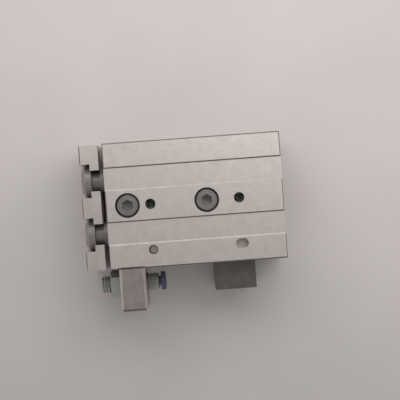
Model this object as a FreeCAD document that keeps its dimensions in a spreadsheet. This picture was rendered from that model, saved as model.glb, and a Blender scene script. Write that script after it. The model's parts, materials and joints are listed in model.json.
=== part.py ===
import FreeCAD, Part
import math
import os
import re
import Sketcher

# Twin bore pneumatic slide table, in millimetres, lying on its table face.
# The origin is the centre of the mounting face and +Z is that face's outward normal,
# so every "depth" below is a distance under the mounting face.
# X runs along the stroke with the end plate at -X, and Y runs across the two bores.
# Cylinder 1 is the one on the port side (+Y) and cylinder 2 the one on the adjuster side (-Y).

SIZES = {
    # body block
    "body_length": 56.0,
    "body_width": 40.0,
    "body_height": 19.0,
    "long_edge_chamfer": 0.4,
    "end_edge_chamfer": 0.3,
    "relief_inner": 4.8,
    "relief_outer": 12.4,
    "relief_depth": 0.4,
    "channel_width": 22.4,
    "channel_floor": 13.5,
    # bores, their seats and the snap rings
    "bore_diameter": 8.0,
    "bore_pitch": 17.0,
    "bore_axis_depth": 7.5,
    "seat_diameter": 10.0,
    "seat_fit": 0.02,
    "clip_lip": 0.6,
    "clip_thickness": 0.8,
    "clip_groove_height": 0.4,
    "clip_width": 1.2,
    "clip_opening": 3.0,
    # interfaces of the mounting face
    "mount_pitch": 28.0,
    "mount_thread_depth": 9.0,
    "pin_diameter": 3.0,
    "pin_hole_depth": 3.0,
    "pin_slot_travel": 1.0,
    "pin_row_offset": 14.4,
    # ports, air passages and sensor grooves
    "port_diameter": 4.2,
    "port_depth": 4.5,
    "front_port_inset": 10.7,
    "rear_port_inset": 7.5,
    "passage_diameter": 1.6,
    "sensor_groove_diameter": 3.6,
    "sensor_groove_mouth": 2.6,
    "sensor_groove_inset": 2.3,
    "sensor_groove_depth_1": 3.2,
    "sensor_groove_depth_2": 12.3,
    # rod covers and head caps
    "cover_length": 11.8,
    "cap_length": 3.8,
    "cap_recess_diameter": 5.0,
    "cap_recess_depth": 0.8,
    "end_bumper_length": 1.5,
    "end_bumper_inset": 0.2,
    "end_bumper_bore": 5.6,
    "head_bumper_bore": 3.0,
    "ring_groove_height": 0.9,
    "ring_groove_width": 1.3,
    "ring_flat": 0.6,
    "ring_play": 0.01,
    "cover_ring_inset": 5.0,
    "cap_ring_inset": 1.2,
    "annulus_height": 0.7,
    "annulus_width": 2.0,
    "air_bore_diameter": 5.4,
    "air_bore_lead": 0.3,
    "rod_seal_height": 1.25,
    "rod_seal_width": 1.8,
    "rod_seal_inset": 1.6,
    "seal_notch": 0.7,
    # pistons and rods
    "rod_diameter": 4.0,
    "rod_clearance": 0.05,
    "seal_clearance": 0.02,
    "piston_length": 14.0,
    "piston_clearance": 0.05,
    "piston_end_gap": 0.3,
    "piston_tail_length": 2.0,
    "piston_tail_diameter": 6.0,
    "piston_groove_height": 1.0,
    "piston_seal_width": 1.6,
    "piston_seal_inset": 8.6,
    "magnet_width": 2.4,
    "magnet_inset": 2.6,
    "rod_neck_diameter": 3.0,
    "rod_neck_recess": 0.4,
    "rod_thread_depth": 6.5,
    # floating joint between the rods and the end plate
    "collar_diameter": 10.3,
    "collar_thickness": 3.1,
    "collar_neck_diameter": 6.4,
    "collar_head_recess": 1.6,
    "collar_chamfer": 1.2,
    "float_play": 0.05,
    "washer_diameter": 8.0,
    "washer_thickness": 1.2,
    "rod_end_engagement": 5.2,
    # crossed roller guide
    "rail_width": 10.0,
    "rail_height": 5.6,
    "rail_inset": 1.4,
    "rail_rear_margin": 6.4,
    "guide_screw_pitch": 25.0,
    "guide_screw_inset": 6.8,
    "guide_engagement": 4.9,
    "guide_counterbore_depth": 4.4,
    "guide_thread_depth": 5.2,
    "groove_side": 2.0,
    "groove_drop": 2.9,
    "guide_gap": 0.6,
    "roller_diameter": 1.96,
    "roller_length": 1.8,
    "roller_pitch": 3.0,
    "roller_count": 9,
    "cage_thickness": 0.4,
    "cage_height": 4.4,
    "cage_end_margin": 1.75,
    "cage_rear_gap": 0.2,
    "cage_window_length": 2.1,
    "cage_window_height": 2.8,
    "cage_stop_thickness": 0.8,
    "cage_stop_height": 4.9,
    "cage_stop_clearance": 0.15,
    "cage_stop_engagement": 2.2,
    "cage_stop_thread_depth": 2.6,
    # table
    "table_gap": 0.5,
    "table_thickness": 6.5,
    "front_gap": 1.5,
    "leg_width": 5.1,
    "leg_tip_clearance": 0.5,
    "table_thread_pitch_long": 25.0,
    "table_thread_pitch_cross": 28.0,
    "table_pin_pitch": 28.0,
    "thread_core_diameter": 3.3,
    # end plate
    "plate_thickness": 6.0,
    "plate_side_inset": 0.2,
    "plate_edge_depth": 1.0,
    "plate_chamfer": 0.4,
    "slot_wide": 10.6,
    "slot_narrow": 6.6,
    "slot_wide_depth": 3.2,
    "plate_screw_pitch": 16.2,
    "plate_screw_depth": 20.0,
    "plate_engagement": 6.2,
    "plate_counterbore_depth": 4.2,
    "plate_thread_depth": 8.0,
    "plate_thread_pitch_cross": 33.0,
    "plate_thread_pitch_down": 14.0,
    "plate_thread_first_depth": 6.0,
    # stroke adjuster
    "block_inset": 2.6,
    "block_length": 8.2,
    "block_reach": 14.0,
    "block_height": 18.4,
    "block_edge_depth": 0.6,
    "block_pocket_depth": 0.6,
    "block_pocket_clearance": 0.1,
    "block_chamfer": 0.7,
    "block_screw_depth": 5.4,
    "block_engagement": 4.8,
    "block_counterbore_depth": 4.2,
    "block_thread_depth": 5.2,
    "adjuster_stand_off": 5.2,
    "adjuster_axis_depth": 12.3,
    "adjuster_diameter": 6.0,
    "adjuster_length": 18.6,
    "adjuster_projection": 3.8,
    "adjuster_chamfer": 0.5,
    "adjuster_key": 3.0,
    "adjuster_key_depth": 3.0,
    "bumper_diameter": 6.0,
    "bumper_head": 1.6,
    "bumper_neck": 0.6,
    "bumper_chamfer": 0.4,
    "bumper_stem_diameter": 3.2,
    "bumper_stem_length": 4.0,
    "bumper_stem_gap": 0.4,
    "nut_width": 8.0,
    "nut_thickness": 3.6,
    "nut_corner_margin": 0.4,
    "nut_chamfer": 0.8,
    # stopper on the table
    "stopper_inset": 32.7,
    "stopper_length": 13.2,
    "stopper_reach": 9.2,
    "stopper_edge_depth": 7.0,
    "stopper_face_inset": 0.4,
    "stopper_relief": 0.4,
    "stopper_chamfer": 0.4,
    "stopper_screw_pitch": 6.6,
    "stopper_engagement": 3.4,
    "stopper_counterbore_depth": 2.6,
    "stopper_thread_depth": 4.0,
    # socket screws, by thread: M4, M2.5, low head M2.5 and M2
    "thread_play": 0.02,
    "head_play": 0.4,
    "cap_shank": 4.0,
    "cap_head": 7.0,
    "cap_head_height": 4.0,
    "cap_key": 3.0,
    "cap_key_depth": 2.0,
    "cap_clearance": 4.5,
    "small_shank": 2.5,
    "small_head": 4.5,
    "small_head_height": 2.5,
    "small_key": 2.0,
    "small_key_depth": 1.3,
    "small_clearance": 2.8,
    "low_shank": 2.5,
    "low_head": 4.5,
    "low_head_height": 1.5,
    "low_key": 1.5,
    "low_key_depth": 0.9,
    "low_clearance": 2.6,
    "button_shank": 2.0,
    "button_head": 3.8,
    "button_head_height": 1.0,
    "button_key": 1.3,
    "button_key_depth": 0.6,
    "button_clearance": 2.2,
}

# Places worked out from the sizes above; a name here may use other names.
PLACES = {
    "front": "-body_length / 2",
    "rear": "body_length / 2",
    "side": "body_width / 2",
    "bore_y": "bore_pitch / 2",
    "bore_z": "-bore_axis_depth",
    "cover_front": "front + clip_lip + clip_thickness",
    "cover_rear": "cover_front + cover_length",
    "cap_rear": "rear - clip_lip - clip_thickness",
    "cap_front": "cap_rear - cap_length",
    "clip_groove_diameter": "seat_diameter + 2 * clip_groove_height",
    "front_port_x": "front + front_port_inset",
    "rear_port_x": "rear - rear_port_inset",
    "table_under": "body_height + table_gap",
    "table_face": "table_under + table_thickness",
    "table_front": "front - front_gap",
    "table_side": "side",
    "plate_side": "table_side - plate_side_inset",
    "plate_front": "table_front - plate_thickness",
    "plate_screw_length": "plate_thickness - plate_counterbore_depth + plate_engagement",
    "slot_shoulder": "plate_front + slot_wide_depth",
    "collar_front": "slot_shoulder - collar_thickness",
    "collar_floor": "collar_front + collar_head_recess",
    "collar_neck_length": "plate_thickness - slot_wide_depth + float_play",
    "washer_front": "slot_shoulder + collar_neck_length",
    "rod_front": "washer_front + washer_thickness",
    "rod_end_screw_length": "rod_front - collar_floor + rod_end_engagement",
    "piston_rear": "cap_front - end_bumper_length - piston_end_gap",
    "piston_front": "piston_rear - piston_length",
    "rail_front": "front + rail_inset",
    "rail_rear": "guide_screw_x + guide_screw_pitch + rail_rear_margin",
    "rail_top": "channel_floor + rail_height",
    "guide_screw_x": "front + guide_screw_inset",
    "guide_screw_length": "channel_floor - guide_counterbore_depth + guide_engagement",
    "groove_z": "-channel_floor - groove_drop",
    "groove_open": "groove_side / sqrt(2) - guide_gap / 2",
    "guide_y": "rail_width / 2 + guide_gap / 2",
    "leg_inner": "rail_width / 2 + guide_gap",
    "leg_outer": "leg_inner + leg_width",
    "leg_tip": "channel_floor + leg_tip_clearance",
    "cage_length": "roller_pitch * (roller_count - 1) + 2 * cage_end_margin",
    "cage_rear": "rail_rear - cage_rear_gap",
    "cage_front": "cage_rear - cage_length",
    "cage_stop_z": "cage_stop_height / 2 - rail_top",
    "cage_stop_screw_length": "cage_stop_thickness + cage_stop_engagement",
    "block_front": "front + block_inset",
    "block_rear": "block_front + block_length",
    "block_seat": "side - block_pocket_depth",
    "block_outer": "block_seat + block_reach",
    "block_screw_length": "block_reach - block_counterbore_depth + block_engagement",
    "adjuster_y": "-side - adjuster_stand_off",
    "adjuster_tip": "block_rear + adjuster_projection",
    "stopper_front": "front + stopper_inset",
    "stopper_outer": "table_side + stopper_reach",
    "stopper_screw_x": "stopper_front + (stopper_length - stopper_screw_pitch) / 2",
    "stopper_screw_z": "-table_under - table_thickness / 2",
    "stopper_screw_length": "stopper_reach - stopper_counterbore_depth + stopper_engagement",
}

WORD = re.compile(r"[a-z][a-z0-9_]*")
SIDES = {1: "", 2: "-"}
TINY = 1e-5

doc = FreeCAD.newDocument("slide_table")
nodes = []


def fill_sheet():
    """Put the driving dimensions in a sheet, one row each, named by an alias."""
    sheet = doc.addObject("Spreadsheet::Sheet", "size")
    for row, (alias, value) in enumerate(SIZES.items(), start=1):
        sheet.set("A%d" % row, alias)
        sheet.set("B%d" % row, str(value))
        sheet.setAlias("B%d" % row, alias)
    doc.recompute()


def expr(text):
    """Turn a formula of named sizes and places into one of the sheet's cells."""
    def swap(match):
        word = match.group(0)
        if word in PLACES:
            return "(" + expr(PLACES[word]) + ")"
        return "size." + word if word in SIZES else word
    return WORD.sub(swap, str(text))


def bind(item, path, text):
    """Bind one property of an object to a formula."""
    item.setExpression(path, expr(text))


def place(item, at, rotation=None):
    """Put an object at three formulas, turned by a fixed rotation."""
    if rotation is not None:
        item.Placement = FreeCAD.Placement(FreeCAD.Vector(), rotation)
    for axis, text in zip("xyz", at):
        bind(item, "Placement.Base." + axis, text)


def turn_about(axis, degrees):
    """Rotation about X, Y or Z."""
    return FreeCAD.Rotation(FreeCAD.Vector(axis == "x", axis == "y", axis == "z"), degrees)


def keep(item):
    """List an object as a piece of the model and return it."""
    nodes.append(item)
    return item


def new_body(label):
    """Empty body with a label of its own."""
    body = doc.addObject("PartDesign::Body", label)
    body.Label = label
    return body


def sketch(body, role, at=("0", "0", "0")):
    """Sketch on an origin plane of the body, moved in the plane's own directions."""
    plane = next(item for item in body.Origin.OriginFeatures if item.Role == role)
    outline = body.newObject("Sketcher::SketchObject", body.Label + "_sketch")
    outline.AttachmentSupport = [(plane, "")]
    outline.MapMode = "FlatFace"
    for axis, text in zip("xyz", at):
        bind(outline, "AttachmentOffset.Base." + axis, text)
    return outline


def cross_sketch(body, x):
    """Sketch across the stroke: its x is Y, its y is Z."""
    return sketch(body, "YZ_Plane", ("0", "0", x))


def side_sketch(body, y):
    """Sketch seen from the side: its x is X, its y is Z."""
    return sketch(body, "XZ_Plane", ("0", "0", "-(%s)" % y))


def flat_sketch(body, z):
    """Sketch seen from above: its x is X, its y is Y."""
    return sketch(body, "XY_Plane", ("0", "0", z))


def dimension(outline, kind, references, start, text):
    """Add one driving dimension and bind it to a formula."""
    index = outline.addConstraint(Sketcher.Constraint(kind, *references, start))
    bind(outline, "Constraints[%d]" % index, text)


def polygon(outline, points):
    """Closed polygon whose corners are formulas."""
    first = outline.GeometryCount
    count = len(points)
    turn = 2 * math.pi / count
    corners = [FreeCAD.Vector(math.cos(turn * i), math.sin(turn * i), 0) for i in range(count)]
    for i in range(count):
        outline.addGeometry(Part.LineSegment(corners[i], corners[(i + 1) % count]))
    for i, (x, y) in enumerate(points):
        outline.addConstraint(Sketcher.Constraint("Coincident", first + i, 2, first + (i + 1) % count, 1))
        dimension(outline, "DistanceX", (-1, 1, first + i, 1), corners[i].x, x)
        dimension(outline, "DistanceY", (-1, 1, first + i, 1), corners[i].y, y)


def rectangle(outline, x0, y0, x1, y1):
    """Closed rectangle between two corners."""
    polygon(outline, [(x0, y0), (x1, y0), (x1, y1), (x0, y1)])


def circle(outline, x, y, diameter):
    """Circle at a place."""
    start = FreeCAD.Vector(1, 1, 0)
    index = outline.addGeometry(Part.Circle(start, FreeCAD.Vector(0, 0, 1), 1))
    dimension(outline, "DistanceX", (-1, 1, index, 3), start.x, x)
    dimension(outline, "DistanceY", (-1, 1, index, 3), start.y, y)
    dimension(outline, "Diameter", (index,), 2, diameter)


def stadium(outline, travel, width, upright=False):
    """Slot with round ends, from the sketch's origin along its x or its y."""
    start_travel = 4
    along = FreeCAD.Vector(0, start_travel, 0) if upright else FreeCAD.Vector(start_travel, 0, 0)
    across = FreeCAD.Vector(-1, 0, 0) if upright else FreeCAD.Vector(0, 1, 0)
    normal = FreeCAD.Vector(0, 0, 1)
    start = math.pi if upright else math.pi / 2
    far = Part.Circle(along, normal, 1)
    near = Part.Circle(FreeCAD.Vector(), normal, 1)
    outline.addGeometry(Part.ArcOfCircle(near, start, start + math.pi))
    outline.addGeometry(Part.ArcOfCircle(far, start - math.pi, start))
    outline.addGeometry(Part.LineSegment(-across, along - across))
    outline.addGeometry(Part.LineSegment(along + across, across))
    for pair in ((0, 2, 2, 1), (2, 2, 1, 1), (1, 2, 3, 1), (3, 2, 0, 1)):
        outline.addConstraint(Sketcher.Constraint("Tangent", *pair))
    outline.addConstraint(Sketcher.Constraint("Equal", 0, 1))
    outline.addConstraint(Sketcher.Constraint("Coincident", 0, 3, -1, 1))
    outline.addConstraint(Sketcher.Constraint("Vertical" if upright else "Horizontal", 2))
    dimension(outline, "Radius", (0,), 1, "(%s) / 2" % width)
    dimension(outline, "DistanceY" if upright else "DistanceX", (-1, 1, 1, 3), start_travel, travel)


def pad(body, outline, length):
    """Grow the outline along its plane's normal."""
    feature = body.newObject("PartDesign::Pad", body.Label + "_pad")
    feature.Profile = outline
    bind(feature, "Length", length)
    doc.recompute()
    return feature


def removed(body, feature, before):
    """Stop if a cutting feature cut nothing."""
    doc.recompute()
    if not body.Shape.Volume < before - TINY:
        raise RuntimeError("%s cuts nothing" % feature.Label)
    return feature


def pocket(body, outline, depth, forward=False):
    """Cut the outline against its plane's normal, or along it."""
    before = body.Shape.Volume
    feature = body.newObject("PartDesign::Pocket", body.Label + "_pocket")
    feature.Profile = outline
    feature.Reversed = forward
    bind(feature, "Length", depth)
    return removed(body, feature, before)


def drilled(body, outline, diameter, depth=None, counterbore=None):
    """Drill a hole at each circle of the outline: blind with a cone, or right through."""
    doc.recompute()
    before = body.Shape.Volume
    feature = body.newObject("PartDesign::Hole", body.Label + "_hole")
    feature.Profile = outline
    doc.recompute()
    feature.DepthType = "Dimension" if depth else "ThroughAll"
    bind(feature, "Diameter", diameter)
    if depth:
        bind(feature, "Depth", depth)
    if counterbore:
        feature.HoleCutType = "Counterbore"
        bind(feature, "HoleCutDiameter", counterbore[0])
        bind(feature, "HoleCutDepth", counterbore[1])
    return removed(body, feature, before)


def spin(body, points, cut=False):
    """Turn a profile of (along the axis, radius) about the body's own X axis."""
    before = body.Shape.Volume if cut else 0
    outline = side_sketch(body, "0")
    polygon(outline, points)
    kind = "PartDesign::Groove" if cut else "PartDesign::Revolution"
    feature = body.newObject(kind, body.Label + "_turn")
    feature.Profile = outline
    feature.ReferenceAxis = (outline, ["H_Axis"])
    feature.Angle = 360
    return removed(body, feature, before) if cut else feature


def turned(label, points, at, rotation=None):
    """Turned piece, with its axis along X before the rotation."""
    body = new_body(label)
    spin(body, points)
    place(body, at, rotation)
    doc.recompute()
    return body


def hexagon(outline, width):
    """Hexagon about the sketch's origin, measured across its flats."""
    corner = "(%s) / sqrt(3)" % width
    half = "(%s) / 2" % width
    middle = "(%s) / sqrt(3) / 2" % width
    polygon(outline, [
        (corner, "0"), (middle, half), ("-" + middle, half),
        ("-" + corner, "0"), ("-" + middle, "-" + half), (middle, "-" + half),
    ])


def screw(label, kind, length, at, rotation=None):
    """Socket screw of one kind, head at the origin's -X side and shank along +X."""
    head = kind + "_head_height"
    body = turned(label, [
        ("-" + head, "0"), ("-" + head, kind + "_head / 2"), ("0", kind + "_head / 2"),
        ("0", kind + "_shank / 2"), (length, kind + "_shank / 2"), (length, "0"),
    ], at, rotation)
    socket = cross_sketch(body, "-" + head)
    hexagon(socket, kind + "_key")
    pocket(body, socket, kind + "_key_depth", forward=True)
    return body


def group(label, members):
    """One piece made of several like solids."""
    compound = doc.addObject("Part::Compound", label)
    compound.Label = label
    compound.Links = members
    return keep(compound)


def chamfer(body, size, chosen):
    """Chamfer the edges of the body that a test chooses."""
    doc.recompute()
    names = ["Edge%d" % i for i, edge in enumerate(body.Shape.Edges, start=1) if chosen(edge.BoundBox)]
    base = body.Tip
    feature = body.newObject("PartDesign::Chamfer", body.Label + "_chamfer")
    feature.Base = (base, names)
    bind(feature, "Size", size)
    doc.recompute()


def mirrored(points):
    """Both halves of an outline that is the same on either side of Y = 0."""
    return points + [("-(%s)" % y, z) for y, z in reversed(points)]


def tapped(kind):
    """Diameter of a tapped hole around a screw of one kind."""
    return kind + "_shank + 2 * thread_play"


def sunk(kind):
    """Diameter of a counterbore around a screw head of one kind."""
    return kind + "_head + 2 * head_play"


def block_blank(body):
    """Extruded block with the relieved strips over the bores and the guide channel."""
    section = cross_sketch(body, "front")
    polygon(section, mirrored([
        ("relief_inner", "0"),
        ("relief_inner + relief_depth", "-relief_depth"),
        ("relief_outer - relief_depth", "-relief_depth"),
        ("relief_outer", "0"),
        ("side - long_edge_chamfer", "0"),
        ("side", "-long_edge_chamfer"),
        ("side", "-body_height"),
        ("channel_width / 2", "-body_height"),
        ("channel_width / 2", "-channel_floor"),
    ]))
    pad(body, section, "body_length")
    ends = side_sketch(body, "-side")
    for end, inset in (("front", "front + end_edge_chamfer"), ("rear", "rear - end_edge_chamfer")):
        polygon(ends, [(end, "0"), (inset, "0"), (end, "-end_edge_chamfer")])
    pocket(body, ends, "body_width")


def block_bores(body):
    """Two bores, wider seats at their ends and the grooves of the snap rings."""
    steps = (
        ("front", "bore_diameter", "body_length", True),
        ("front", "seat_diameter", "cover_rear - front", True),
        ("rear", "seat_diameter", "rear - cap_front", False),
        ("front + clip_lip", "clip_groove_diameter", "clip_thickness", True),
        ("rear - clip_lip", "clip_groove_diameter", "clip_thickness", False),
    )
    for x, diameter, depth, forward in steps:
        outline = cross_sketch(body, x)
        for sign in SIDES.values():
            circle(outline, sign + "bore_y", "bore_z", diameter)
        pocket(body, outline, depth, forward)


def block_face_holes(body):
    """Counterbored guide screw holes, threads, pin hole and pin slot of the mounting face."""
    guide = flat_sketch(body, "0")
    for x in ("guide_screw_x", "guide_screw_x + guide_screw_pitch"):
        circle(guide, x, "0", "cap_clearance")
    drilled(body, guide, "cap_clearance", counterbore=(sunk("cap"), "guide_counterbore_depth"))
    threads = flat_sketch(body, "0")
    for sign in ("-", ""):
        circle(threads, sign + "mount_pitch / 2", "0", "thread_core_diameter")
    drilled(body, threads, "thread_core_diameter", "mount_thread_depth")
    pin = flat_sketch(body, "0")
    circle(pin, "-mount_pitch / 2", "-pin_row_offset", "pin_diameter")
    pocket(body, pin, "pin_hole_depth")
    slot = sketch(body, "XY_Plane", ("(mount_pitch - pin_slot_travel) / 2", "-pin_row_offset", "0"))
    stadium(slot, "pin_slot_travel", "pin_diameter")
    pocket(body, slot, "pin_hole_depth")


def block_port_side(body):
    """Ports, cross passages to both bores, and two sensor grooves."""
    for diameter, depth in (("port_diameter", "port_depth"), ("passage_diameter", "side + bore_y")):
        outline = side_sketch(body, "side")
        for x in ("front_port_x", "rear_port_x"):
            circle(outline, x, "bore_z", diameter)
        pocket(body, outline, depth, forward=True)
    grooves = cross_sketch(body, "rear")
    mouths = cross_sketch(body, "rear")
    for depth in ("sensor_groove_depth_1", "sensor_groove_depth_2"):
        circle(grooves, "side - sensor_groove_inset", "-" + depth, "sensor_groove_diameter")
        rectangle(mouths, "side - sensor_groove_inset", "-%s - sensor_groove_mouth / 2" % depth,
                  "side + long_edge_chamfer", "sensor_groove_mouth / 2 - " + depth)
    pocket(body, grooves, "body_length")
    pocket(body, mouths, "body_length")


def block_adjuster_side(body):
    """Shallow pocket that locates the adjuster block, and the thread of its screw."""
    seat = side_sketch(body, "-side")
    rectangle(seat, "block_front - block_pocket_clearance", "long_edge_chamfer",
              "block_rear + block_pocket_clearance", "-body_height - long_edge_chamfer")
    pocket(body, seat, "block_pocket_depth")
    thread = side_sketch(body, "-side")
    circle(thread, "(block_front + block_rear) / 2", "-block_screw_depth", tapped("cap"))
    pocket(body, thread, "block_pocket_depth + block_thread_depth")


def body_block():
    """Cylinder body that everything else is built on."""
    body = keep(new_body("body_block"))
    block_blank(body)
    block_bores(body)
    block_face_holes(body)
    block_port_side(body)
    block_adjuster_side(body)


def guide_rail():
    """Rail in the channel, with a right-angled groove along each side for the rollers."""
    body = keep(new_body("guide_rail"))
    section = cross_sketch(body, "rail_front")
    polygon(section, mirrored([
        ("rail_width / 2", "-channel_floor"),
        ("rail_width / 2", "groove_z + groove_open"),
        ("rail_width / 2 - groove_open", "groove_z"),
        ("rail_width / 2", "groove_z - groove_open"),
        ("rail_width / 2", "-rail_top"),
    ]))
    pad(body, section, "rail_rear - rail_front")
    threads = flat_sketch(body, "-channel_floor")
    for x in ("guide_screw_x", "guide_screw_x + guide_screw_pitch"):
        circle(threads, x, "0", tapped("cap"))
    pocket(body, threads, "guide_thread_depth")
    for x, forward in (("rail_front", True), ("rail_rear", False)):
        end = cross_sketch(body, x)
        circle(end, "0", "cage_stop_z", tapped("button"))
        pocket(body, end, "cage_stop_thread_depth", forward)


def guide_rail_screws():
    """Two cap screws that hold the rail from the mounting face."""
    down = turn_about("y", 90)
    places = {"front": "guide_screw_x", "rear": "guide_screw_x + guide_screw_pitch"}
    group("guide_rail_screws", [
        screw("guide_rail_screw_" + end, "cap", "guide_screw_length",
              (x, "0", "-guide_counterbore_depth"), down)
        for end, x in places.items()
    ])


def cage_stops():
    """Plates on the ends of the rail that keep the roller cages in, and their screws."""
    ends = {
        "front": ("rail_front - cage_stop_thickness", "rail_front - cage_stop_thickness", 0),
        "rear": ("rail_rear", "rail_rear + cage_stop_thickness", 180),
    }
    screws = []
    for end, (x, screw_x, degrees) in ends.items():
        body = keep(new_body("cage_stop_" + end))
        outline = cross_sketch(body, x)
        rectangle(outline, "cage_stop_clearance - leg_inner", "-rail_top",
                  "leg_inner - cage_stop_clearance", "cage_stop_height - rail_top")
        circle(outline, "0", "cage_stop_z", "button_clearance")
        pad(body, outline, "cage_stop_thickness")
        screws.append(screw("cage_stop_screw_" + end, "button", "cage_stop_screw_length",
                            (screw_x, "0", "cage_stop_z"), turn_about("z", degrees)))
    group("cage_stop_screws", screws)


def on_bore(number, x):
    """Place on the axis of one cylinder."""
    return (x, SIDES[number] + "bore_y", "bore_z")


def o_ring(label, number, x):
    """O-ring squeezed between the floor of its groove and the seat, so flat on both."""
    inner = "seat_diameter / 2 - ring_groove_height + ring_play"
    outer = "seat_diameter / 2 - ring_play"
    middle = "seat_diameter / 2 - ring_groove_height / 2"
    near = "(ring_groove_width - ring_flat) / 2"
    far = "(ring_groove_width + ring_flat) / 2"
    keep(turned(label, [
        (near, inner), ("ring_play", middle), (near, outer),
        (far, outer), ("ring_groove_width - ring_play", middle), (far, inner),
    ], on_bore(number, x)))


def clip(label, number, x):
    """Open snap ring in its groove."""
    body = keep(new_body(label))
    outline = cross_sketch(body, "0")
    circle(outline, "0", "0", "clip_groove_diameter - 2 * seat_fit")
    circle(outline, "0", "0", "clip_groove_diameter - 2 * clip_width")
    pad(body, outline, "clip_thickness")
    gap = cross_sketch(body, "0")
    rectangle(gap, "-clip_opening / 2", "0", "clip_opening / 2", "clip_groove_diameter")
    pocket(body, gap, "clip_thickness", forward=True)
    place(body, on_bore(number, x))


def rod_cover(number):
    """Front cover of a bore: guides and seals the rod, and lets air in behind its seal."""
    outer = "seat_diameter / 2 - seat_fit"
    floor = "seat_diameter / 2 - ring_groove_height"
    annulus = "seat_diameter / 2 - annulus_height"
    inner = "rod_diameter / 2 + rod_clearance"
    seal = "rod_diameter / 2 + rod_seal_height"
    air = "air_bore_diameter / 2"
    hole = "(front_port_x - cover_front)"
    annulus_start = hole + " - annulus_width / 2"
    annulus_end = hole + " + annulus_width / 2"
    air_start = annulus_start + " - air_bore_lead"
    body = keep(turned("rod_cover_%d" % number, [
        ("0", inner), ("0", outer),
        ("cover_ring_inset", outer), ("cover_ring_inset", floor),
        ("cover_ring_inset + ring_groove_width", floor),
        ("cover_ring_inset + ring_groove_width", outer),
        (annulus_start, outer), (annulus_start, annulus),
        (annulus_end, annulus), (annulus_end, outer),
        ("cover_length", outer), ("cover_length", air),
        (air_start, air), (air_start, inner),
        ("rod_seal_inset + rod_seal_width", inner), ("rod_seal_inset + rod_seal_width", seal),
        ("rod_seal_inset", seal), ("rod_seal_inset", inner),
    ], on_bore(number, "cover_front")))
    holes = flat_sketch(body, "seat_diameter / 2")
    circle(holes, hole, "0", "passage_diameter")
    pocket(body, holes, "seat_diameter")


def lip_seal(label, number, x, width, inner, outer):
    """Ring seal with a notch between its two lips, open towards +X."""
    middle = "(%s + %s) / 2" % (inner, outer)
    lip = "(%s - (%s)) / 4" % (outer, inner)
    keep(turned(label, [
        ("0", inner), ("0", outer), (width, outer), (width, "%s - %s" % (outer, lip)),
        (width + " - seal_notch", middle), (width, "%s + %s" % (inner, lip)), (width, inner),
    ], on_bore(number, x)))


def ring(label, number, x, length, inner, outer):
    """Plain ring on the axis of a cylinder."""
    keep(turned(label, [("0", inner), ("0", outer), (length, outer), (length, inner)],
                on_bore(number, x)))


def head_cap(number):
    """Plug of a bore's rear end, with a shallow recess in its outer face."""
    outer = "seat_diameter / 2 - seat_fit"
    floor = "seat_diameter / 2 - ring_groove_height"
    keep(turned("head_cap_%d" % number, [
        ("0", "0"), ("0", outer),
        ("cap_ring_inset", outer), ("cap_ring_inset", floor),
        ("cap_ring_inset + ring_groove_width", floor), ("cap_ring_inset + ring_groove_width", outer),
        ("cap_length", outer), ("cap_length", "cap_recess_diameter / 2"),
        ("cap_length - cap_recess_depth", "cap_recess_diameter / 2"),
        ("cap_length - cap_recess_depth", "0"),
    ], on_bore(number, "cap_front")))


def cylinder_ends(number):
    """Everything that closes the two ends of one bore."""
    rod_cover(number)
    o_ring("rod_cover_o_ring_%d" % number, number, "cover_front + cover_ring_inset")
    lip_seal("rod_seal_%d" % number, number, "cover_front + rod_seal_inset", "rod_seal_width",
             "rod_diameter / 2 + seal_clearance", "rod_diameter / 2 + rod_seal_height - seal_clearance")
    ring("rod_bumper_%d" % number, number, "cover_rear", "end_bumper_length",
         "end_bumper_bore / 2", "bore_diameter / 2 - end_bumper_inset")
    clip("rod_cover_clip_%d" % number, number, "front + clip_lip")
    head_cap(number)
    o_ring("head_cap_o_ring_%d" % number, number, "cap_front + cap_ring_inset")
    ring("head_bumper_%d" % number, number, "cap_front - end_bumper_length", "end_bumper_length",
         "head_bumper_bore / 2", "bore_diameter / 2 - end_bumper_inset")
    clip("head_cap_clip_%d" % number, number, "rear - clip_lip - clip_thickness")


def piston_rod(number):
    """Rod with a tapped front end and a neck that carries the piston."""
    core = "low_shank / 2 + thread_play"
    length = "(piston_front - rod_front)"
    end = length + " + piston_length - rod_neck_recess"
    keep(turned("piston_rod_%d" % number, [
        ("0", core), ("0", "rod_diameter / 2"), (length, "rod_diameter / 2"),
        (length, "rod_neck_diameter / 2"), (end, "rod_neck_diameter / 2"), (end, "0"),
        ("rod_thread_depth", "0"), ("rod_thread_depth", core),
    ], on_bore(number, "rod_front")))


def piston(number):
    """Piston with a seal groove, a slimmer tail, and on cylinder 1 a groove for the magnet."""
    outer = "bore_diameter / 2 - piston_clearance"
    floor = "bore_diameter / 2 - piston_groove_height"
    inner = "rod_neck_diameter / 2 + seat_fit"
    shoulder = "piston_length - piston_tail_length"
    grooves = [("piston_seal_inset", "piston_seal_width")]
    if number == 1:
        grooves.insert(0, ("magnet_inset", "magnet_width"))
    points = [("0", inner), ("0", outer)]
    for start, width in grooves:
        points += [(start, outer), (start, floor)]
        points += [(start + " + " + width, floor), (start + " + " + width, outer)]
    points += [
        (shoulder, outer), (shoulder, "piston_tail_diameter / 2"),
        ("piston_length", "piston_tail_diameter / 2"), ("piston_length", inner),
    ]
    keep(turned("piston_%d" % number, points, on_bore(number, "piston_front")))


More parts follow.
